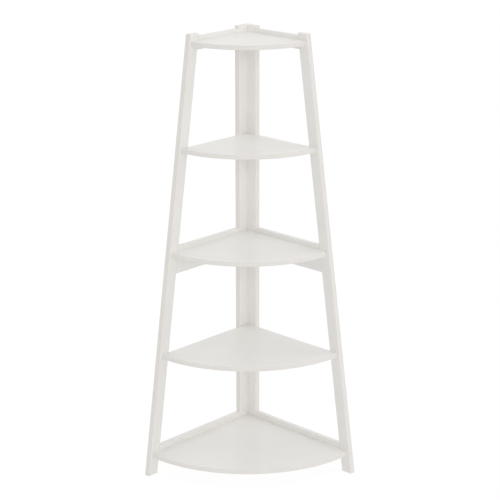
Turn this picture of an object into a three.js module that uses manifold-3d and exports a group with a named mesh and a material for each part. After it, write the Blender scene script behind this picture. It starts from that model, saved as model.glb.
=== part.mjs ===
// A white corner ladder shelf: an L-shaped back post of two boards, two front legs that lean back
// towards the corner, six rails and five quarter-round shelves. Dowels join the rails to the post
// and the legs, and countersunk connector screws hold the shelves from the wall side.
//
// Millimetres, +Z up, floor at z = 0. The unit stands in the corner where the left wall (x lowest)
// meets the right wall (y highest), and the origin is the middle of its square footprint.

import * as THREE from "three";
import { mergeVertices } from "three/addons/utils/BufferGeometryUtils.js";
import Module from "manifold-3d";

const wasm = await Module();
wasm.setup();

// Driving dimensions of the whole unit
const unitHeight = 1524; // floor to the top of the post and of the legs
const unitReach = 520; // along each wall, from the outer corner to the front of a leg's foot
const legRakeDegrees = 8.5; // lean of the front legs
const pairedFitGap = 0.3; // between pieces that meet on a raked face, and around every dowel and screw

// Boards
const boardThickness = 20; // post boards and legs
const postWidth = 60; // of the post along each wall
const legWidth = 40; // square across the leg's face
const railThickness = 16;
const shelfThickness = 16;
const frameArris = 1; // small chamfer on the long edges of post, legs and rails
const shelfArris = 1.2; // the same on the shelves

// Shelves, from the top down
const topShelfDrop = 24; // from the top of the post down to the top shelf's upper face
const bottomShelfHeight = 80; // floor to the bottom shelf's upper face
const shelfNames = ["top", "upper", "middle", "lower", "bottom"];
const shelfSetback = 8.5; // from the leg's front edge to the shelf's front corner
const shelfArcSteps = 30;

// Rails: how far each rises above its shelf, and its full depth
const railLips = { top: 15, middle: 16, bottom: 20 };
const railDepths = { top: 46, middle: 95, bottom: 46 };
const railDowelHeightShares = { lower: 0.24, upper: 0.76 }; // of the rail's depth
const railScrewLengthShares = { back: 0.2, front: 0.8 }; // of the rail's shorter run

// Dowels
const dowelDiameter = 8;
const dowelLength = 30;
const dowelChamfer = 1;
const dowelSides = 8;

// Connector screws
const screwLength = 40;
const screwDiameter = 6.4;
const screwPointLength = 3;
const screwPointDiameter = 3;
const screwHeadDiameter = 10;
const screwHeadRim = 0.8;
const screwHeadDepth = 3.2;
const screwSocketWidth = 4; // across the flats
const screwSocketDepth = 2.4;
const screwSides = 12;
const screwEdgeDistance = 12; // from the post's front edge to the screw that holds an open shelf
const cornerScrewHeightShares = { lower: 0.1, middle: 0.5, upper: 0.9 }; // of the unit's height

// One overrun for every cut that has to break through a face
const cutOverrun = 2;

// Finishes
const whitePaint = { color: 0xe6e3dc, roughness: 0.5, metalness: 0 };
const beech = { color: 0xc9a878, roughness: 0.75, metalness: 0 };
const zinc = { color: 0xb9bcc0, roughness: 0.35, metalness: 0.9 };

const rakeSlope = Math.tan(THREE.MathUtils.degToRad(legRakeDegrees));
const rakeCosine = Math.cos(THREE.MathUtils.degToRad(legRakeDegrees));
const rakeSine = Math.sin(THREE.MathUtils.degToRad(legRakeDegrees));
const up = new THREE.Vector3(0, 0, 1);

// The two walls, seen from the outer corner: which way the wall runs, and which way is into the room
const walls = [
  { name: "left", along: new THREE.Vector3(0, -1, 0), inward: new THREE.Vector3(1, 0, 0) },
  { name: "right", along: new THREE.Vector3(1, 0, 0), inward: new THREE.Vector3(0, -1, 0) },
];

// A point given by its distance along the wall, its offset from the wall and its height
function wallPoint(wall, distance, offset, height) {
  return new THREE.Vector3()
    .addScaledVector(wall.along, distance)
    .addScaledVector(wall.inward, offset)
    .addScaledVector(up, height);
}

// The leg's front and rear edges, as distances along the wall at a height
function legFront(height) {
  return unitReach - height * rakeSlope;
}

function legRear(height) {
  return legFront(height) - legWidth / rakeCosine;
}

// The upper faces of the shelves, evenly spaced
function shelfHeight(index) {
  const topShelfHeight = unitHeight - topShelfDrop;
  const pitch = (topShelfHeight - bottomShelfHeight) / (shelfNames.length - 1);
  return topShelfHeight - index * pitch;
}

function shelfRadius(height) {
  return legFront(height) - shelfSetback - boardThickness;
}

// Solids for joining and cutting

function solidOf(geometry) {
  const bare = new THREE.BufferGeometry();
  bare.setAttribute("position", geometry.getAttribute("position"));
  bare.setIndex(geometry.getIndex());
  const merged = mergeVertices(bare);
  return new wasm.Manifold(
    new wasm.Mesh({
      numProp: 3,
      vertProperties: merged.getAttribute("position").array,
      triVerts: new Uint32Array(merged.getIndex().array),
    }),
  );
}

function geometryOf(solid) {
  const mesh = solid.getMesh();
  const geometry = new THREE.BufferGeometry();
  geometry.setAttribute("position", new THREE.BufferAttribute(mesh.vertProperties, 3));
  geometry.setIndex(new THREE.BufferAttribute(mesh.triVerts, 1));
  geometry.computeVertexNormals();
  return geometry;
}

// Takes every hole that reaches the piece out of it
function bored(geometry, holes) {
  let solid = solidOf(geometry);
  for (const hole of holes) {
    solid = solid.subtract(hole);
  }
  return geometryOf(solid);
}

// A flat board with chamfered edges, from its outline and thickness
function board(outline, thickness, arris, curveSegments = 1) {
  const geometry = new THREE.ExtrudeGeometry(outline, {
    depth: thickness - 2 * arris,
    curveSegments,
    bevelEnabled: true,
    bevelThickness: arris,
    bevelSize: arris,
    bevelOffset: -arris,
    bevelSegments: 1,
  });
  geometry.translate(0, 0, arris);
  return geometry;
}

// A board that lies in the plane of a wall. Its outline is drawn as distance along the wall against
// height, and its room face is always the plane in which all the boards are flush.
function wallBoard(wall, corners, thickness) {
  const outline = new THREE.Shape(corners.map(([distance, height]) => new THREE.Vector2(distance, height)));
  const geometry = board(outline, thickness, frameArris);
  const facing = new THREE.Vector3().crossVectors(wall.along, up);
  const start = facing.dot(wall.inward) > 0 ? boardThickness - thickness : boardThickness;
  const place = new THREE.Matrix4().makeBasis(wall.along, up, facing);
  place.setPosition(wallPoint(wall, 0, start, 0));
  return geometry.applyMatrix4(place);
}

// Round pieces are turned about their own Y axis, which points the way they are driven in
function turned(profile, sides) {
  const points = profile.map(([radius, depth]) => new THREE.Vector2(radius, depth));
  return new THREE.LatheGeometry(points, sides);
}

function dowelGeometry() {
  const radius = dowelDiameter / 2;
  const half = dowelLength / 2;
  const profile = [
    [0, -half],
    [radius - dowelChamfer, -half],
    [radius, -half + dowelChamfer],
    [radius, half - dowelChamfer],
    [radius - dowelChamfer, half],
    [0, half],
  ];
  return turned(profile, dowelSides);
}

function dowelHoleGeometry() {
  const radius = dowelDiameter / 2 + pairedFitGap;
  return new THREE.CylinderGeometry(radius, radius, dowelLength + 2 * pairedFitGap, dowelSides);
}

function screwGeometry() {
  const profile = [
    [0, 0],
    [screwHeadDiameter / 2, 0],
    [screwHeadDiameter / 2, screwHeadRim],
    [screwDiameter / 2, screwHeadDepth],
    [screwDiameter / 2, screwLength - screwPointLength],
    [screwPointDiameter / 2, screwLength],
    [0, screwLength],
  ];
  const socketRadius = screwSocketWidth / Math.sqrt(3);
  const socket = new THREE.CylinderGeometry(socketRadius, socketRadius, screwSocketDepth + cutOverrun, 6);
  socket.translate(0, (screwSocketDepth - cutOverrun) / 2, 0);
  return geometryOf(solidOf(turned(profile, screwSides)).subtract(solidOf(socket)));
}

// Countersunk at the head, then one straight drilling to the screw's point
function screwHoleGeometry() {
  const profile = [
    [0, -cutOverrun],
    [screwHeadDiameter / 2 + pairedFitGap, -cutOverrun],
    [screwHeadDiameter / 2 + pairedFitGap, screwHeadRim + pairedFitGap],
    [screwDiameter / 2 + pairedFitGap, screwHeadDepth + pairedFitGap],
    [screwDiameter / 2 + pairedFitGap, screwLength + pairedFitGap],
    [0, screwLength + pairedFitGap],
  ];
  return turned(profile, screwSides);
}

const dowelShape = dowelGeometry();
const dowelHole = dowelHoleGeometry();
const screwShape = screwGeometry();
const screwHole = screwHoleGeometry();

// Every dowel and screw is a mesh and a hole with one place: where it starts and which way it points

const fixings = [];

function addFixing(name, shape, hole, finish, origin, direction) {
  const mesh = new THREE.Mesh(shape, new THREE.MeshStandardMaterial(finish));
  mesh.name = name;
  mesh.position.copy(origin);
  mesh.quaternion.setFromUnitVectors(new THREE.Vector3(0, 1, 0), direction);
  mesh.updateMatrix();
  fixings.push({ mesh, hole: solidOf(hole.clone().applyMatrix4(mesh.matrix)) });
}

function addDowel(name, origin, direction) {
  addFixing(name, dowelShape, dowelHole, beech, origin, direction);
}

function addScrew(name, origin, direction) {
  addFixing(name, screwShape, screwHole, zinc, origin, direction);
}

// The height of a rail's lower edge, and the run of its shorter level edge between post and leg
function railPlace(tier) {
  const shelf = shelfHeight(shelfNames.indexOf(tier));
  const highEdge = shelf + railLips[tier];
  const lowEdge = highEdge - railDepths[tier];
  return { shelf, lowEdge, highEdge, shortRun: legRear(highEdge) - pairedFitGap / rakeCosine - postWidth };
}

function addRailDowels(wall, tier) {
  const { lowEdge } = railPlace(tier);
  const offset = boardThickness - railThickness / 2;
  const legSquare = wallPoint(wall, rakeCosine, 0, rakeSine);
  for (const [level, share] of Object.entries(railDowelHeightShares)) {
    const height = lowEdge + share * railDepths[tier];
    const postEnd = wallPoint(wall, postWidth, offset, height);
    const legEnd = wallPoint(wall, legRear(height), offset, height);
    addDowel(`${tier}_rail_${wall.name}_post_dowel_${level}`, postEnd, wall.along);
    addDowel(`${tier}_rail_${wall.name}_leg_dowel_${level}`, legEnd, legSquare);
  }
}

function addRailedShelfScrews(wall, tier) {
  const { shelf, shortRun } = railPlace(tier);
  for (const [place, share] of Object.entries(railScrewLengthShares)) {
    const distance = postWidth + share * shortRun;
    const head = wallPoint(wall, distance, boardThickness - railThickness, shelf - shelfThickness / 2);
    addScrew(`${tier}_shelf_${wall.name}_screw_${place}`, head, wall.inward);
  }
}

function addOpenShelfScrews(tier) {
  const middle = shelfHeight(shelfNames.indexOf(tier)) - shelfThickness / 2;
  for (const wall of walls) {
    const legCentre = (legFront(middle) + legRear(middle)) / 2;
    addScrew(`${tier}_shelf_${wall.name}_leg_screw`, wallPoint(wall, legCentre, 0, middle), wall.inward);
  }
  const postHead = wallPoint(walls[0], postWidth - screwEdgeDistance, 0, middle);
  addScrew(`${tier}_shelf_post_screw`, postHead, walls[0].inward);
}

function addCornerScrews() {
  for (const [level, share] of Object.entries(cornerScrewHeightShares)) {
    const head = wallPoint(walls[1], 0, boardThickness / 2, share * unitHeight);
    addScrew(`post_corner_screw_${level}`, head, walls[1].along);
  }
}

// Boards

function painted(name, geometry) {
  const holes = fixings.map((fixing) => fixing.hole);
  const mesh = new THREE.Mesh(bored(geometry, holes), new THREE.MeshStandardMaterial(whitePaint));
  mesh.name = name;
  return mesh;
}

// The left board runs through the outer corner, and the right board butts against its room face
function postBoard(wall) {
  const rear = wall === walls[0] ? 0 : boardThickness;
  const corners = [
    [rear, 0],
    [postWidth, 0],
    [postWidth, unitHeight],
    [rear, unitHeight],
  ];
  return painted(`back_post_${wall.name}`, wallBoard(wall, corners, boardThickness));
}

function frontLeg(wall) {
  const corners = [
    [legRear(0), 0],
    [legFront(0), 0],
    [legFront(unitHeight), unitHeight],
    [legRear(unitHeight), unitHeight],
  ];
  return painted(`front_leg_${wall.name}`, wallBoard(wall, corners, boardThickness));
}

// A rail is cut square at the post and to the leg's rake at the front
function rail(wall, tier) {
  const { lowEdge, highEdge } = railPlace(tier);
  const gapAlongWall = pairedFitGap / rakeCosine;
  const corners = [
    [postWidth, lowEdge],
    [legRear(lowEdge) - gapAlongWall, lowEdge],
    [legRear(highEdge) - gapAlongWall, highEdge],
    [postWidth, highEdge],
  ];
  return painted(`${tier}_rail_${wall.name}`, wallBoard(wall, corners, railThickness));
}

// A quarter round about the inner corner of the post, as wide as the legs allow at its height
function shelf(tier) {
  const upperFace = shelfHeight(shelfNames.indexOf(tier));
  const radius = shelfRadius(upperFace);
  const outline = new THREE.Shape();
  outline.moveTo(0, 0);
  outline.lineTo(0, -radius);
  outline.absarc(0, 0, radius, -Math.PI / 2, 0, false);
  outline.lineTo(0, 0);
  const geometry = board(outline, shelfThickness, shelfArris, shelfArcSteps);
  geometry.translate(boardThickness, -boardThickness, upperFace - shelfThickness);
  return painted(`${tier}_shelf`, geometry);
}

// Assembly

for (const tier of shelfNames) {
  if (tier in railLips) {
    for (const wall of walls) {
      addRailDowels(wall, tier);
      addRailedShelfScrews(wall, tier);
    }
  } else {
    addOpenShelfScrews(tier);
  }
}
addCornerScrews();

const unit = new THREE.Group();
unit.position.set(-unitReach / 2, unitReach / 2, 0);

for (const wall of walls) {
  const sideFrame = new THREE.Group();
  sideFrame.add(postBoard(wall), frontLeg(wall));
  for (const tier of Object.keys(railLips)) {
    sideFrame.add(rail(wall, tier));
  }
  unit.add(sideFrame);
}

const shelves = new THREE.Group();
for (const tier of shelfNames) {
  shelves.add(shelf(tier));
}
unit.add(shelves);

const hardware = new THREE.Group();
for (const fixing of fixings) {
  hardware.add(fixing.mesh);
}
unit.add(hardware);

export default unit;
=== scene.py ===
import math

import bmesh
import bpy
import numpy as np
from mathutils import Matrix, Vector
from mathutils.bvhtree import BVHTree
from mathutils.geometry import convex_hull_2d


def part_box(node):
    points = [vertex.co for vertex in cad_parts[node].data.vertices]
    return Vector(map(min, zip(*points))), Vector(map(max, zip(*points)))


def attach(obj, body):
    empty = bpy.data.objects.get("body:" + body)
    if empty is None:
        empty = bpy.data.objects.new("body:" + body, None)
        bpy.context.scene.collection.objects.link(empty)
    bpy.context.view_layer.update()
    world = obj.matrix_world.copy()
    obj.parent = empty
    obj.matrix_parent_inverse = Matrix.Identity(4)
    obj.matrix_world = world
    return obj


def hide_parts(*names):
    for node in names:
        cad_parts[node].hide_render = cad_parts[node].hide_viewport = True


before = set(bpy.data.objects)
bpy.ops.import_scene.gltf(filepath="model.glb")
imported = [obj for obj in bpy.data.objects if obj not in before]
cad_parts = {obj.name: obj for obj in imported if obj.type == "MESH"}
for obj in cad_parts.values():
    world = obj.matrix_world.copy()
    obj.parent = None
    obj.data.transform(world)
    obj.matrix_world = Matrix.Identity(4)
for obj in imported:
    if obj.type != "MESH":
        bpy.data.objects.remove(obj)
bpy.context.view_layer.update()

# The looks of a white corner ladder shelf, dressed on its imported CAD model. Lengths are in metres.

BODY = "root"
UP = Vector((0, 0, 1))
ALONG_LEFT_WALL = Vector((0, 1, 0))
ALONG_RIGHT_WALL = Vector((1, 0, 0))
PLAIN_WHITE = (1, 1, 1)

# Camera, found by fitting the unit's edges to the photograph's
CAMERA_PLACE = Vector((3.5016, -3.6702, 2.4351))
CAMERA_AZIMUTH = math.radians(43.642)
CAMERA_ELEVATION = math.radians(17.637)
CAMERA_ROLL = math.radians(0.068)
PICTURE_PIXELS = 500
FOCAL_PIXELS = 1588.6
SENSOR_MM = 36

# Light. Elevations and turns are in degrees, and a lamp's turn is measured from straight in front of the
# corner, towards the right wall
WORLD_STRENGTH = 0.647
WORLD_COLOUR = (1.01, 1, 0.993)
WARM_WHITE = (1.03, 1, 0.985)
LAMP_SPREAD = math.radians(45)
LAMPS = {
    "front": {"energy": 0.80, "elevation": 5, "turn": 15, "colour": WARM_WHITE},
    "top": {"energy": 0.20, "elevation": 70, "turn": 0, "colour": PLAIN_WHITE},
    "right": {"energy": 0.35, "elevation": 45, "turn": 90, "colour": PLAIN_WHITE},
    "rear": {"energy": 0.35, "elevation": 45, "turn": -135, "colour": PLAIN_WHITE},
}
CORNER_FRONT_DEGREES = -45
# So low that the shelves would throw it back, white, at a view from behind
LAMPS_WITHOUT_GLARE = ("front",)

# Floor. Its light is what a matte pale floor throws back, with none lost to the object's own shadow. The
# shade and the glow are what the camera sees of it
FLOOR_REACH = 30
FLOOR_LIGHT = 0.73
FLOOR_SHADE_COLOUR = (0.16, 0.16, 0.16)
FLOOR_GLOW = 0.88

# Noise textures have a scale in features per metre, a count of finer octaves, and a stretch along three
# axes, of which the last lies along the grain
NOISE_ROUGHNESS = 0.55
NOISE_SPREAD = (0.3, 0.7)  # nearly all of its values

# White paint
PAINT_COLOUR = (0.885, 0.874, 0.850)
SHADED_SIDE_COLOUR = (0.846, 0.824, 0.788)  # painted shade on the boards' narrow sides that don't face up
PAINT_ROUGHNESS = (0.31, 0.39)
PAINT_STREAKS = {"scale": 170, "detail": 4, "stretch": (1, 1, 0.03)}
PAINT_CLOUDS = {"scale": 9, "detail": 2}
PAINT_ROLLER = {"scale": 900, "detail": 1}
PAINT_RUBS = {"scale": 60, "detail": 3}
STREAK_SHARE = 0.6  # of the streaks, added to the clouds to make the tone
TONE_SPREAD = (0.5, 1.1)  # the values of that sum
TONE_CHANGE = 0.02  # of the paint's brightness, up and down
RUBBED_SPREAD = (0.45, 0.65)  # from unrubbed to fully rubbed
EDGE_WEAR_SHARE = 0.03  # darkening where the paint is thinnest
EDGE_POLISH = 0.06  # off the roughness of the arrises
GRAIN_BUMP = {"distance": 0.00004, "strength": 0.6}
ROLLER_BUMP = {"distance": 0.00003, "strength": 0.5}

# Bare beech
BEECH_FIBRES = {"scale": 900, "detail": 5, "stretch": (1, 1, 0.06)}
BEECH_FLECKS = {"scale": 2600, "detail": 2, "stretch": (1, 1, 0.25)}
FLECK_SHARE = 0.3  # of the flecks, added to the fibres to make the tone
BEECH_TONES = {0.4: (0.42, 0.26, 0.13), 0.85: (0.66, 0.46, 0.27)}  # by their place on the ramp
BEECH_ROUGHNESS = (0.62, 0.78)
FIBRE_BUMP = {"distance": 0.0001, "strength": 0.5}

# Zinc plate
ZINC_COLOUR = (0.55, 0.56, 0.58)
ZINC_CLOUDS = {"scale": 350, "detail": 3}
ZINC_TURNING = {"scale": 1500, "detail": 2, "stretch": (0.05, 0.05, 1)}
ZINC_TONES = (0.9, 1.05)
ZINC_ROUGHNESS = (0.28, 0.42)
TURNING_BUMP = {"distance": 0.00003, "strength": 0.4}

# Edges of the boards
WELD = 0.00002
FLAT_ANGLE = math.radians(0.2)
ARRIS_ANGLE = math.radians(35)
ARRIS_RADIUS = 0.0006
ARRIS_SEGMENTS = 3
ARRIS_LAYER = "arris"
# The layer that marks the faces which take the painted shade
SHADED_SIDE_LAYER = "side"
NARROW_SIDE_COSINE = 0.5  # a narrow side faces over 60 degrees away from the broad faces and from up; only these get the painted shade
BUTTED_SHARE = 0.3  # of the arris, where an edge butts against another board
BUTTED_REACH = 0.0012
BUTTED_SAMPLE_SHARES = (0.25, 0.5, 0.75)  # of the edge's length
SHELF_ARC_STEPS = 120

# Screws and dowels, each drawn from its head or end at zero depth
SCREW_LENGTH = 0.040
SCREW_WELD = 0.000005
LEVEL_SLACK = 0.001  # in the normal of a face that counts as level
HEAD_RADIUS = 0.005
HEAD_RIM = 0.0008
HEAD_DEPTH = 0.0032
HEAD_EASE = 0.0002
SHANK_RADIUS = 0.0032
SHANK_END = 0.010
POINT_RADIUS = 0.0015
POINT_LENGTH = 0.003
THREAD_CORE_RADIUS = 0.0023
THREAD_PITCH = 0.003
THREAD_FADE = 0.0025
THREAD_STEPS = 24
THREAD_TOOTH = (0, 0, 0.5, 1, 0.5)  # of the thread's depth, over one pitch
SOCKET_SIDES = 6
SOCKET_WIDTH = 0.004  # across the flats
SOCKET_REACH = SOCKET_WIDTH / 2 / math.cos(math.pi / SOCKET_SIDES)
SOCKET_DEPTH = 0.0024
SOCKET_POINT_REACH = SOCKET_REACH / 2
SOCKET_POINT_DEPTH = 0.0004
DOWEL_RADIUS = 0.004
DOWEL_LENGTH = 0.030
DOWEL_CHAMFER = 0.001
DOWEL_FLUTES = 16
DOWEL_FLUTE_DEPTH = 0.0003
DOWEL_FLUTE_SHARPNESS = 3
DOWEL_STEPS_PER_FLUTE = 5

# Holes for them, as profiles of (radius, depth)
FIT_GAP = 0.0003
CUT_OVERRUN = 0.002
HOLE_STEPS = 48
SCREW_HOLE = [
    (HEAD_RADIUS + FIT_GAP, -CUT_OVERRUN),
    (HEAD_RADIUS + FIT_GAP, HEAD_RIM + FIT_GAP),
    (SHANK_RADIUS + FIT_GAP, HEAD_DEPTH + FIT_GAP),
    (SHANK_RADIUS + FIT_GAP, SCREW_LENGTH + FIT_GAP),
]
DOWEL_HOLE = [
    (DOWEL_RADIUS + FIT_GAP, -FIT_GAP),
    (DOWEL_RADIUS + FIT_GAP, DOWEL_LENGTH + FIT_GAP),
]


# Shader nodes


def add_node(tree, kind, **values):
    """A node with its input values set by name, where an underscore stands for a space."""
    node = tree.nodes.new(kind)
    for name, value in values.items():
        node.inputs[name.replace("_", " ")].default_value = value
    return node


def feed(tree, socket, value):
    """Links the value to the socket if it is a socket itself, and otherwise sets it there."""
    if isinstance(value, bpy.types.NodeSocket):
        tree.links.new(value, socket)
    else:
        socket.default_value = value


def calculated(tree, operation, *values):
    """The result of one math operation on sockets and fixed numbers."""
    node = tree.nodes.new("ShaderNodeMath")
    node.operation = operation
    for socket, value in zip(node.inputs, values):
        feed(tree, socket, value)
    return node.outputs[0]


def ranged(tree, value, source, target):
    """The value, brought from one range to another."""
    node = add_node(
        tree, "ShaderNodeMapRange",
        From_Min=source[0], From_Max=source[1], To_Min=target[0], To_Max=target[1],
    )
    tree.links.new(value, node.inputs["Value"])
    return node.outputs["Result"]


def between(tree, share, first, second):
    """The colour that lies at the given share of the way from the first to the second."""
    node = tree.nodes.new("ShaderNodeVectorMath")
    node.operation = "MULTIPLY_ADD"
    tree.links.new(share, node.inputs[0])
    node.inputs[1].default_value = [end - start for start, end in zip(first, second)]
    node.inputs[2].default_value = first
    return node.outputs[0]


def toned(tree, colour, tone):
    """The colour, a fixed one or a socket, brightened or darkened by the tone."""
    node = tree.nodes.new("ShaderNodeVectorMath")
    node.operation = "SCALE"
    feed(tree, node.inputs[0], colour)
    tree.links.new(tone, node.inputs["Scale"])
    return node.outputs[0]


def marked(tree, layer):
    """What the mesh's layer says of the face: 1 or 0."""
    node = tree.nodes.new("ShaderNodeAttribute")
    node.attribute_name = layer
    return node.outputs["Fac"]


def object_noise(tree, scale, detail, stretch=(1, 1, 1), grain=UP):
    """Noise in the object's own space, drawn out along the grain by a small last value of stretch."""
    place = tree.nodes.new("ShaderNodeTexCoord")
    turned_to_grain = tree.nodes.new("ShaderNodeMapping")
    turned_to_grain.inputs["Rotation"].default_value = grain.to_track_quat("Z", "Y").inverted().to_euler()
    stretched = tree.nodes.new("ShaderNodeMapping")
    stretched.inputs["Scale"].default_value = stretch
    noise = add_node(tree, "ShaderNodeTexNoise", Scale=scale, Detail=detail, Roughness=NOISE_ROUGHNESS)
    tree.links.new(place.outputs["Object"], turned_to_grain.inputs["Vector"])
    tree.links.new(turned_to_grain.outputs[0], stretched.inputs["Vector"])
    tree.links.new(stretched.outputs[0], noise.inputs["Vector"])
    return noise.outputs["Fac"]


def bumped(tree, height, distance, strength, below=None):
    """A normal that follows the height, on top of the normal below it."""
    node = add_node(tree, "ShaderNodeBump", Strength=strength, Distance=distance)
    tree.links.new(height, node.inputs["Height"])
    if below is not None:
        tree.links.new(below, node.inputs["Normal"])
    return node.outputs["Normal"]


def seen_ray(tree):
    """1 for rays from the camera, off gloss and through glass, 0 for the light that falls on things."""
    path = tree.nodes.new("ShaderNodeLightPath")
    seen = calculated(tree, "MAXIMUM", path.outputs["Is Camera Ray"], path.outputs["Is Glossy Ray"])
    return calculated(tree, "MAXIMUM", seen, path.outputs["Is Transmission Ray"])


def set_lit_and_seen(tree, output, lighting, seen):
    """Gives the output one shader for the light that falls on things, and another for what is seen."""
    mix = tree.nodes.new("ShaderNodeMixShader")
    tree.links.new(seen_ray(tree), mix.inputs[0])
    tree.links.new(lighting.outputs[0], mix.inputs[1])
    tree.links.new(seen.outputs[0], mix.inputs[2])
    tree.links.new(mix.outputs[0], output.inputs["Surface"])


# Camera and studio


def make_camera():
    data = bpy.data.cameras.new("camera")
    data.sensor_width = SENSOR_MM
    data.lens = SENSOR_MM * FOCAL_PIXELS / PICTURE_PIXELS
    camera = bpy.data.objects.new("camera", data)
    bpy.context.scene.collection.objects.link(camera)
    forward = Vector((
        -math.sin(CAMERA_AZIMUTH) * math.cos(CAMERA_ELEVATION),
        math.cos(CAMERA_AZIMUTH) * math.cos(CAMERA_ELEVATION),
        -math.sin(CAMERA_ELEVATION),
    ))
    right = Vector((math.cos(CAMERA_AZIMUTH), math.sin(CAMERA_AZIMUTH), 0))
    axes = Matrix((right, right.cross(forward), -forward)).transposed()
    camera.matrix_world = (
        Matrix.Translation(CAMERA_PLACE) @ axes.to_4x4() @ Matrix.Rotation(-CAMERA_ROLL, 4, "Z")
    )
    bpy.context.scene.camera = camera


def make_world():
    world = bpy.data.worlds.new("studio")
    bpy.context.scene.world = world
    world.use_nodes = True
    tree = world.node_tree
    tree.nodes.clear()
    lighting = add_node(tree, "ShaderNodeBackground", Color=(*WORLD_COLOUR, 1), Strength=WORLD_STRENGTH)
    backdrop = add_node(tree, "ShaderNodeBackground", Color=(*PLAIN_WHITE, 1), Strength=1)
    set_lit_and_seen(tree, tree.nodes.new("ShaderNodeOutputWorld"), lighting, backdrop)


def make_lamp(name, energy, elevation, turn, colour):
    data = bpy.data.lights.new(name, "SUN")
    data.energy = energy
    data.color = colour
    data.angle = LAMP_SPREAD
    lamp = bpy.data.objects.new(name, data)
    lamp.visible_glossy = name not in LAMPS_WITHOUT_GLARE
    around = math.radians(CORNER_FRONT_DEGREES + turn)
    height = math.radians(elevation)
    towards_lamp = Vector((
        math.cos(around) * math.cos(height),
        math.sin(around) * math.cos(height),
        math.sin(height),
    ))
    lamp.rotation_mode = "QUATERNION"
    lamp.rotation_quaternion = towards_lamp.to_track_quat("Z", "Y")
    bpy.context.scene.collection.objects.link(lamp)


def floor_material():
    """A pale floor that lights the object evenly, and is seen as white with its soft shadow on it."""
    material = bpy.data.materials.new("floor")
    material.use_nodes = True
    tree = material.node_tree
    tree.nodes.clear()
    lighting = add_node(tree, "ShaderNodeEmission", Color=(*PLAIN_WHITE, 1), Strength=FLOOR_LIGHT)
    shade = add_node(tree, "ShaderNodeBsdfDiffuse", Color=(*FLOOR_SHADE_COLOUR, 1))
    glow = add_node(tree, "ShaderNodeEmission", Color=(*PLAIN_WHITE, 1), Strength=FLOOR_GLOW)
    seen = tree.nodes.new("ShaderNodeAddShader")
    tree.links.new(shade.outputs[0], seen.inputs[0])
    tree.links.new(glow.outputs[0], seen.inputs[1])
    set_lit_and_seen(tree, tree.nodes.new("ShaderNodeOutputMaterial"), lighting, seen)
    return material


def make_floor():
    mesh = bpy.data.meshes.new("floor")
    corners = [
        (-FLOOR_REACH, -FLOOR_REACH, 0),
        (FLOOR_REACH, -FLOOR_REACH, 0),
        (FLOOR_REACH, FLOOR_REACH, 0),
        (-FLOOR_REACH, FLOOR_REACH, 0),
    ]
    mesh.from_pydata(corners, [], [(0, 1, 2, 3)])
    mesh.materials.append(floor_material())
    floor = bpy.data.objects.new("floor", mesh)
    bpy.context.scene.collection.objects.link(floor)


# Materials


def new_shader(name):
    material = bpy.data.materials.new(name)
    material.use_nodes = True
    return material, material.node_tree, material.node_tree.nodes["Principled BSDF"]


def paint_material(name, grain):
    """White satin paint over wood: faint grain along the board, a roller's texture, rubbed edges, and
    painted shade on the narrow sides that don't face up.
    """
    material, tree, shader = new_shader(name)
    streaks = object_noise(tree, **PAINT_STREAKS, grain=grain)
    clouds = object_noise(tree, **PAINT_CLOUDS)
    roller = object_noise(tree, **PAINT_ROLLER)
    rubs = object_noise(tree, **PAINT_RUBS)

    on_arris = marked(tree, ARRIS_LAYER)
    # Painted shade: narrow sides that don't face up are darkened towards the shaded side colour
    colour = between(tree, marked(tree, SHADED_SIDE_LAYER), PAINT_COLOUR, SHADED_SIDE_COLOUR)
    rubbed = calculated(tree, "MULTIPLY", on_arris, ranged(tree, rubs, RUBBED_SPREAD, (0, 1)))

    mixture = calculated(tree, "MULTIPLY_ADD", streaks, STREAK_SHARE, clouds)
    tone = ranged(tree, mixture, TONE_SPREAD, (1 - TONE_CHANGE, 1 + TONE_CHANGE))
    worn = calculated(tree, "MULTIPLY_ADD", rubbed, -EDGE_WEAR_SHARE, tone)
    tree.links.new(toned(tree, colour, worn), shader.inputs["Base Color"])

    gloss = ranged(tree, clouds, NOISE_SPREAD, PAINT_ROUGHNESS)
    polished = calculated(tree, "MULTIPLY_ADD", on_arris, -EDGE_POLISH, gloss)
    tree.links.new(polished, shader.inputs["Roughness"])

    grain_bump = bumped(tree, streaks, **GRAIN_BUMP)
    tree.links.new(bumped(tree, roller, **ROLLER_BUMP, below=grain_bump), shader.inputs["Normal"])
    return material


def beech_material():
    """Bare beech with its grain along the dowel."""
    material, tree, shader = new_shader("beech")
    fibres = object_noise(tree, **BEECH_FIBRES)
    flecks = object_noise(tree, **BEECH_FLECKS)
    tone = calculated(tree, "MULTIPLY_ADD", flecks, FLECK_SHARE, fibres)
    ramp = tree.nodes.new("ShaderNodeValToRGB")
    for stop, (position, colour) in zip(ramp.color_ramp.elements, BEECH_TONES.items()):
        stop.position = position
        stop.color = (*colour, 1)
    tree.links.new(tone, ramp.inputs["Fac"])
    tree.links.new(ramp.outputs["Color"], shader.inputs["Base Color"])
    tree.links.new(ranged(tree, fibres, NOISE_SPREAD, BEECH_ROUGHNESS), shader.inputs["Roughness"])
    tree.links.new(bumped(tree, fibres, **FIBRE_BUMP), shader.inputs["Normal"])
    return material


def zinc_material():
    """Bright zinc plate: cloudy in tone and gloss, with fine marks round the axis from turning."""
    material, tree, shader = new_shader("zinc")
    shader.inputs["Metallic"].default_value = 1
    clouds = object_noise(tree, **ZINC_CLOUDS)
    turning = object_noise(tree, **ZINC_TURNING)
    tone = ranged(tree, clouds, NOISE_SPREAD, ZINC_TONES)
    tree.links.new(toned(tree, ZINC_COLOUR, tone), shader.inputs["Base Color"])
    tree.links.new(ranged(tree, clouds, NOISE_SPREAD, ZINC_ROUGHNESS), shader.inputs["Roughness"])
    tree.links.new(bumped(tree, turning, **TURNING_BUMP), shader.inputs["Normal"])
    return material


# Meshes


def add_ring(bm, points):
    return [bm.verts.new(point) for point in points]


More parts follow.
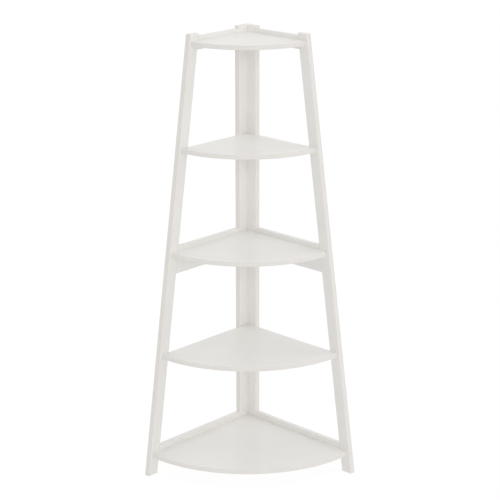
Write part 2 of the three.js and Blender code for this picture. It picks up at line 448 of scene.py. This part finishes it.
def add_band(bm, lower, upper):
    """Quads between two closed rings of the same length."""
    count = len(lower)
    for step in range(count):
        after = (step + 1) % count
        bm.faces.new((lower[step], lower[after], upper[after], upper[step]))


def add_turned(bm, profile, steps, place=Matrix()):
    """A round solid from a profile of (radius, depth). A radius may be a function of the angle."""
    angles = [2 * math.pi * step / steps for step in range(steps)]
    rings = []
    for radius, depth in profile:
        radii = [radius(angle) if callable(radius) else radius for angle in angles]
        points = [
            place @ Vector((reach * math.cos(angle), reach * math.sin(angle), depth))
            for reach, angle in zip(radii, angles)
        ]
        rings.append(add_ring(bm, points))
    for lower, upper in zip(rings, rings[1:]):
        add_band(bm, lower, upper)
    bm.faces.new(reversed(rings[0]))
    bm.faces.new(rings[-1])


def add_thread(bm, start, end):
    """A helical thread round the Z axis, whose rows of points climb with it. Its ends are level rings."""
    row_count = len(THREAD_TOOTH)
    row_rise = THREAD_PITCH / row_count
    last_row = math.ceil((end - start) / row_rise)
    depth_of_tooth = SHANK_RADIUS - THREAD_CORE_RADIUS
    rows = []
    for row in range(-row_count, last_row + row_count + 1):
        tooth = THREAD_TOOTH[row % row_count]
        points = []
        for step in range(THREAD_STEPS):
            angle = 2 * math.pi * step / THREAD_STEPS
            height = start + (row + row_count * step / THREAD_STEPS) * row_rise
            height = min(max(height, start), end)
            fade = min((height - start) / THREAD_FADE, (end - height) / THREAD_FADE, 1)
            reach = THREAD_CORE_RADIUS + tooth * fade * depth_of_tooth
            points.append(Vector((reach * math.cos(angle), reach * math.sin(angle), height)))
        rows.append(add_ring(bm, points))
    for row in range(len(rows) - 1 - row_count):
        for step in range(THREAD_STEPS):
            after = (step + 1) % THREAD_STEPS
            climb = row_count if after == 0 else 0
            corners = (
                rows[row][step],
                rows[row + climb][after],
                rows[row + climb + 1][after],
                rows[row + 1][step],
            )
            bm.faces.new(corners)


def mesh_of(bm, name, material):
    """The finished mesh, shaded smooth but for its sharp edges. The bmesh is freed."""
    mesh = bpy.data.meshes.new(name)
    bm.to_mesh(mesh)
    bm.free()
    mesh.materials.append(material)
    mesh.shade_smooth()
    mesh.set_sharp_from_angle(angle=ARRIS_ANGLE)
    return mesh


def object_of(mesh, name):
    piece = bpy.data.objects.new(name, mesh)
    bpy.context.scene.collection.objects.link(piece)
    return piece


def apply_modifier(piece, modifier):
    """Makes the piece's mesh what the modifier shows, and takes the modifier off."""
    evaluated = piece.evaluated_get(bpy.context.evaluated_depsgraph_get())
    mesh = bpy.data.meshes.new_from_object(evaluated)
    mesh.name = piece.data.name
    piece.modifiers.remove(modifier)
    piece.data = mesh


def cut_mesh(piece, cutter):
    """Takes one object's solid out of another's mesh, and removes the cutter."""
    cut = piece.modifiers.new("cut", "BOOLEAN")
    cut.operation = "DIFFERENCE"
    cut.solver = "EXACT"
    cut.object = cutter
    apply_modifier(piece, cut)
    bpy.data.objects.remove(cutter)


def seat(piece, node):
    """Makes the piece move with the frame, and hides the node's plain solid."""
    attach(piece, BODY)
    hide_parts(node)


def node_points(node):
    return np.array([vertex.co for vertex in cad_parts[node].data.vertices])


def main_direction(from_middle):
    """The direction in which a cloud of points, given from its middle, reaches furthest."""
    _, _, axes = np.linalg.svd(from_middle, full_matrices=False)
    return axes[0]


# Screws and dowels


def fixing_place(node):
    """Where a screw or dowel of the frame starts and points: its own +Z, from its wider end at zero."""
    points = node_points(node)
    from_middle = points - points.mean(axis=0)
    drive = main_direction(from_middle)
    along = from_middle @ drive
    across = np.linalg.norm(from_middle - np.outer(along, drive), axis=1)
    if along[across.argmax()] > 0:
        drive = -drive
    drive = Vector(drive)
    side = UP.cross(drive).normalized()
    turn = Matrix((side, drive.cross(side), drive))
    local = points @ np.array(turn).T
    low, high = local.min(axis=0), local.max(axis=0)
    start = Vector(((low[0] + high[0]) / 2, (low[1] + high[1]) / 2, low[2]))
    place = turn.transposed().to_4x4()
    place.translation = turn.transposed() @ start
    return place


def is_buried(face):
    """A level round face between the screw's ends, left where two of its parts meet."""
    is_level = abs(abs(face.normal.z) - 1) < LEVEL_SLACK
    depth = face.calc_center_median().z
    return len(face.verts) == THREAD_STEPS and is_level and WELD < depth < SCREW_LENGTH - WELD


def blank_screw_mesh(material):
    """The screw without its socket: head and shank, rolled thread, and point."""
    thread_end = SCREW_LENGTH - POINT_LENGTH
    head = [
        (HEAD_RADIUS - HEAD_EASE, 0),
        (HEAD_RADIUS, HEAD_EASE),
        (HEAD_RADIUS, HEAD_RIM),
        (SHANK_RADIUS, HEAD_DEPTH),
        (SHANK_RADIUS, SHANK_END - (SHANK_RADIUS - THREAD_CORE_RADIUS)),
        (THREAD_CORE_RADIUS, SHANK_END),
    ]
    point = [
        (THREAD_CORE_RADIUS, thread_end),
        (POINT_RADIUS, SCREW_LENGTH),
    ]
    bm = bmesh.new()
    add_turned(bm, head, THREAD_STEPS)
    add_thread(bm, SHANK_END, thread_end)
    add_turned(bm, point, THREAD_STEPS)
    bmesh.ops.remove_doubles(bm, verts=bm.verts, dist=SCREW_WELD)
    bmesh.ops.delete(bm, geom=[face for face in bm.faces if is_buried(face)], context="FACES_ONLY")
    bmesh.ops.recalc_face_normals(bm, faces=bm.faces)
    return mesh_of(bm, "screw", material)


def screw_mesh(material):
    """A countersunk connector screw with a hexagon socket."""
    profile = [
        (SOCKET_REACH, -CUT_OVERRUN),
        (SOCKET_REACH, SOCKET_DEPTH),
        (SOCKET_POINT_REACH, SOCKET_DEPTH + SOCKET_POINT_DEPTH),
    ]
    pattern = object_of(blank_screw_mesh(material), "screw_pattern")
    socket = bmesh.new()
    add_turned(socket, profile, SOCKET_SIDES)
    bmesh.ops.recalc_face_normals(socket, faces=socket.faces)
    cut_mesh(pattern, object_of(mesh_of(socket, "socket", material), "socket"))
    mesh = pattern.data
    bpy.data.objects.remove(pattern)
    mesh.set_sharp_from_angle(angle=ARRIS_ANGLE)
    return mesh


def dowel_mesh(material):
    """A beech pin with pressed flutes and chamfered ends."""
    def fluted(angle):
        wave = (1 + math.cos(DOWEL_FLUTES * angle)) / 2
        return DOWEL_RADIUS - DOWEL_FLUTE_DEPTH * wave ** DOWEL_FLUTE_SHARPNESS

    profile = [
        (DOWEL_RADIUS - DOWEL_CHAMFER, 0),
        (fluted, DOWEL_CHAMFER),
        (fluted, DOWEL_LENGTH - DOWEL_CHAMFER),
        (DOWEL_RADIUS - DOWEL_CHAMFER, DOWEL_LENGTH),
    ]
    bm = bmesh.new()
    add_turned(bm, profile, DOWEL_FLUTES * DOWEL_STEPS_PER_FLUTE)
    bmesh.ops.recalc_face_normals(bm, faces=bm.faces)
    return mesh_of(bm, "dowel", material)


def fix_together():
    """Puts every screw and dowel in. Returns the hole that each needs: {node: (place, profile)}."""
    screw = screw_mesh(zinc_material())
    dowel = dowel_mesh(beech_material())
    bores = {}
    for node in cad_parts:
        if "screw" in node:
            mesh, hole, slot = screw, SCREW_HOLE, "zinc_screw"
        elif "dowel" in node:
            mesh, hole, slot = dowel, DOWEL_HOLE, "beech_dowel"
        else:
            continue
        piece = object_of(mesh, node + "_turned")
        piece.matrix_world = fixing_place(node)
        seat(piece, node)
        bores[node] = (piece.matrix_world.copy(), hole)
    return bores


# Boards


def prism(outline, place, low, high):
    """A board with sharp edges: an outline of (a, b), put in space by place(a, b, depth) at both depths."""
    bm = bmesh.new()
    lower = add_ring(bm, [place(a, b, low) for a, b in outline])
    upper = add_ring(bm, [place(a, b, high) for a, b in outline])
    add_band(bm, lower, upper)
    bm.faces.new(reversed(lower))
    bm.faces.new(upper)
    bmesh.ops.remove_doubles(bm, verts=bm.verts, dist=WELD)
    bmesh.ops.dissolve_limit(bm, angle_limit=FLAT_ANGLE, verts=bm.verts, edges=bm.edges)
    bmesh.ops.recalc_face_normals(bm, faces=bm.faces)
    return bm


def wall_board_blank(node):
    """A board of the left or right frame, with the outline and thickness that it has in the CAD model."""
    low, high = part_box(node)
    thin = 0 if high[0] - low[0] < high[1] - low[1] else 1
    wide = 1 - thin
    points = [(vertex.co[wide], vertex.co.z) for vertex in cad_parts[node].data.vertices]
    outline = [points[index] for index in convex_hull_2d(points)]
    if thin == 0:
        return prism(outline, lambda a, b, depth: (depth, a, b), low[0], high[0])
    return prism(outline, lambda a, b, depth: (a, depth, b), low[1], high[1])


def shelf_blank(node):
    """A shelf: a quarter round about the post's inner corner, with a finer arc than the CAD model's."""
    low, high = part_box(node)
    radius = high[0] - low[0]
    outline = [(low[0], high[1])]
    for step in range(SHELF_ARC_STEPS + 1):
        angle = math.pi / 2 * step / SHELF_ARC_STEPS
        outline.append((low[0] + radius * math.sin(angle), high[1] - radius * math.cos(angle)))
    return prism(outline, lambda a, b, depth: (a, b, depth), low[2], high[2])


def is_butted(edge, neighbours):
    """Whether an edge lies along another board."""
    start, end = (vertex.co for vertex in edge.verts)
    samples = [start.lerp(end, share) for share in BUTTED_SAMPLE_SHARES]
    return any(
        all(tree.find_nearest(sample, BUTTED_REACH)[0] is not None for sample in samples)
        for tree in neighbours
    )


def round_edges(piece, bm, neighbours):
    """Gives the piece the blank's shape with its sharp edges rounded over, least where they butt."""
    weight = bm.edges.layers.float.new("bevel_weight_edge")
    for edge in bm.edges:
        if edge.calc_face_angle(0) > ARRIS_ANGLE:
            edge[weight] = BUTTED_SHARE if is_butted(edge, neighbours) else 1
    bm.to_mesh(piece.data)
    bm.free()
    bevel = piece.modifiers.new("arrises", "BEVEL")
    bevel.limit_method = "WEIGHT"
    bevel.width = ARRIS_RADIUS
    bevel.segments = ARRIS_SEGMENTS
    apply_modifier(piece, bevel)


def mark_faces(mesh):
    """Marks the arrises for the paint, and the narrow sides that don't face up for its painted shade."""
    bm = bmesh.new()
    bm.from_mesh(mesh)
    arris = bm.faces.layers.float.new(ARRIS_LAYER)
    side = bm.faces.layers.float.new(SHADED_SIDE_LAYER)
    broad_way = max(bm.faces, key=lambda face: face.calc_area()).normal
    for face in bm.faces:
        longest = max(edge.calc_length() for edge in face.edges)
        face[arris] = 1 if face.calc_area() < ARRIS_RADIUS * longest else 0
        # Painted shade goes on the narrow sides, and is left off those that face up into the light
        faces_across = abs(face.normal.dot(broad_way)) < NARROW_SIDE_COSINE
        face[side] = 1 if faces_across and face.normal.z < NARROW_SIDE_COSINE else 0
    bm.to_mesh(mesh)
    bm.free()


def boxes_meet(first, second):
    return all(
        low_a < high_b and low_b < high_a
        for low_a, high_a, low_b, high_b in zip(*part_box(first), *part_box(second))
    )


def make_board(node, material, bores, board_trees):
    """One finished board: cut to its outline, rounded over, marked for the paint, and bored."""
    bm = shelf_blank(node) if node.endswith("shelf") else wall_board_blank(node)
    piece = object_of(bpy.data.meshes.new(node), node + "_painted")
    round_edges(piece, bm, [tree for name, tree in board_trees.items() if name != node])
    mark_faces(piece.data)
    holes = bmesh.new()
    for fixing, (place, profile) in bores.items():
        if boxes_meet(node, fixing):
            add_turned(holes, profile, HOLE_STEPS, place)
    bmesh.ops.recalc_face_normals(holes, faces=holes.faces)
    cut_mesh(piece, object_of(mesh_of(holes, "holes", material), "holes"))
    piece.data.name = node
    piece.data.materials.clear()
    piece.data.materials.append(material)
    piece.data.shade_smooth()
    piece.data.set_sharp_from_angle(angle=ARRIS_ANGLE)
    piece.modifiers.new("even_shading", "WEIGHTED_NORMAL").keep_sharp = True
    seat(piece, node)


def long_axis(node):
    """The direction in which a board is longest."""
    points = node_points(node)
    return Vector(main_direction(points - points.mean(axis=0)))


def grain_of(node):
    """Which of the grains a board has, by its name."""
    if node.endswith("shelf"):
        return "shelf"
    if node.startswith("back_post"):
        return "post"
    side = "left" if node.endswith("left") else "right"
    return side + ("_leg" if node.startswith("front_leg") else "_rail")


def make_boards(bores):
    grains = {
        "post": UP,
        "left_leg": long_axis("front_leg_left"),
        "right_leg": long_axis("front_leg_right"),
        "left_rail": ALONG_LEFT_WALL,
        "right_rail": ALONG_RIGHT_WALL,
        "shelf": (ALONG_LEFT_WALL + ALONG_RIGHT_WALL).normalized(),
    }
    paints = {name: paint_material("paint_" + name, grain) for name, grain in grains.items()}
    boards = [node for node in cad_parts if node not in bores]
    depsgraph = bpy.context.evaluated_depsgraph_get()
    trees = {node: BVHTree.FromObject(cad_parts[node], depsgraph) for node in boards}
    for node in boards:
        make_board(node, paints[grain_of(node)], bores, trees)


make_camera()
make_world()
for lamp_name, lamp in LAMPS.items():
    make_lamp(lamp_name, **lamp)
make_floor()
make_boards(fix_together())

bpy.context.scene.view_settings.view_transform = "Standard"
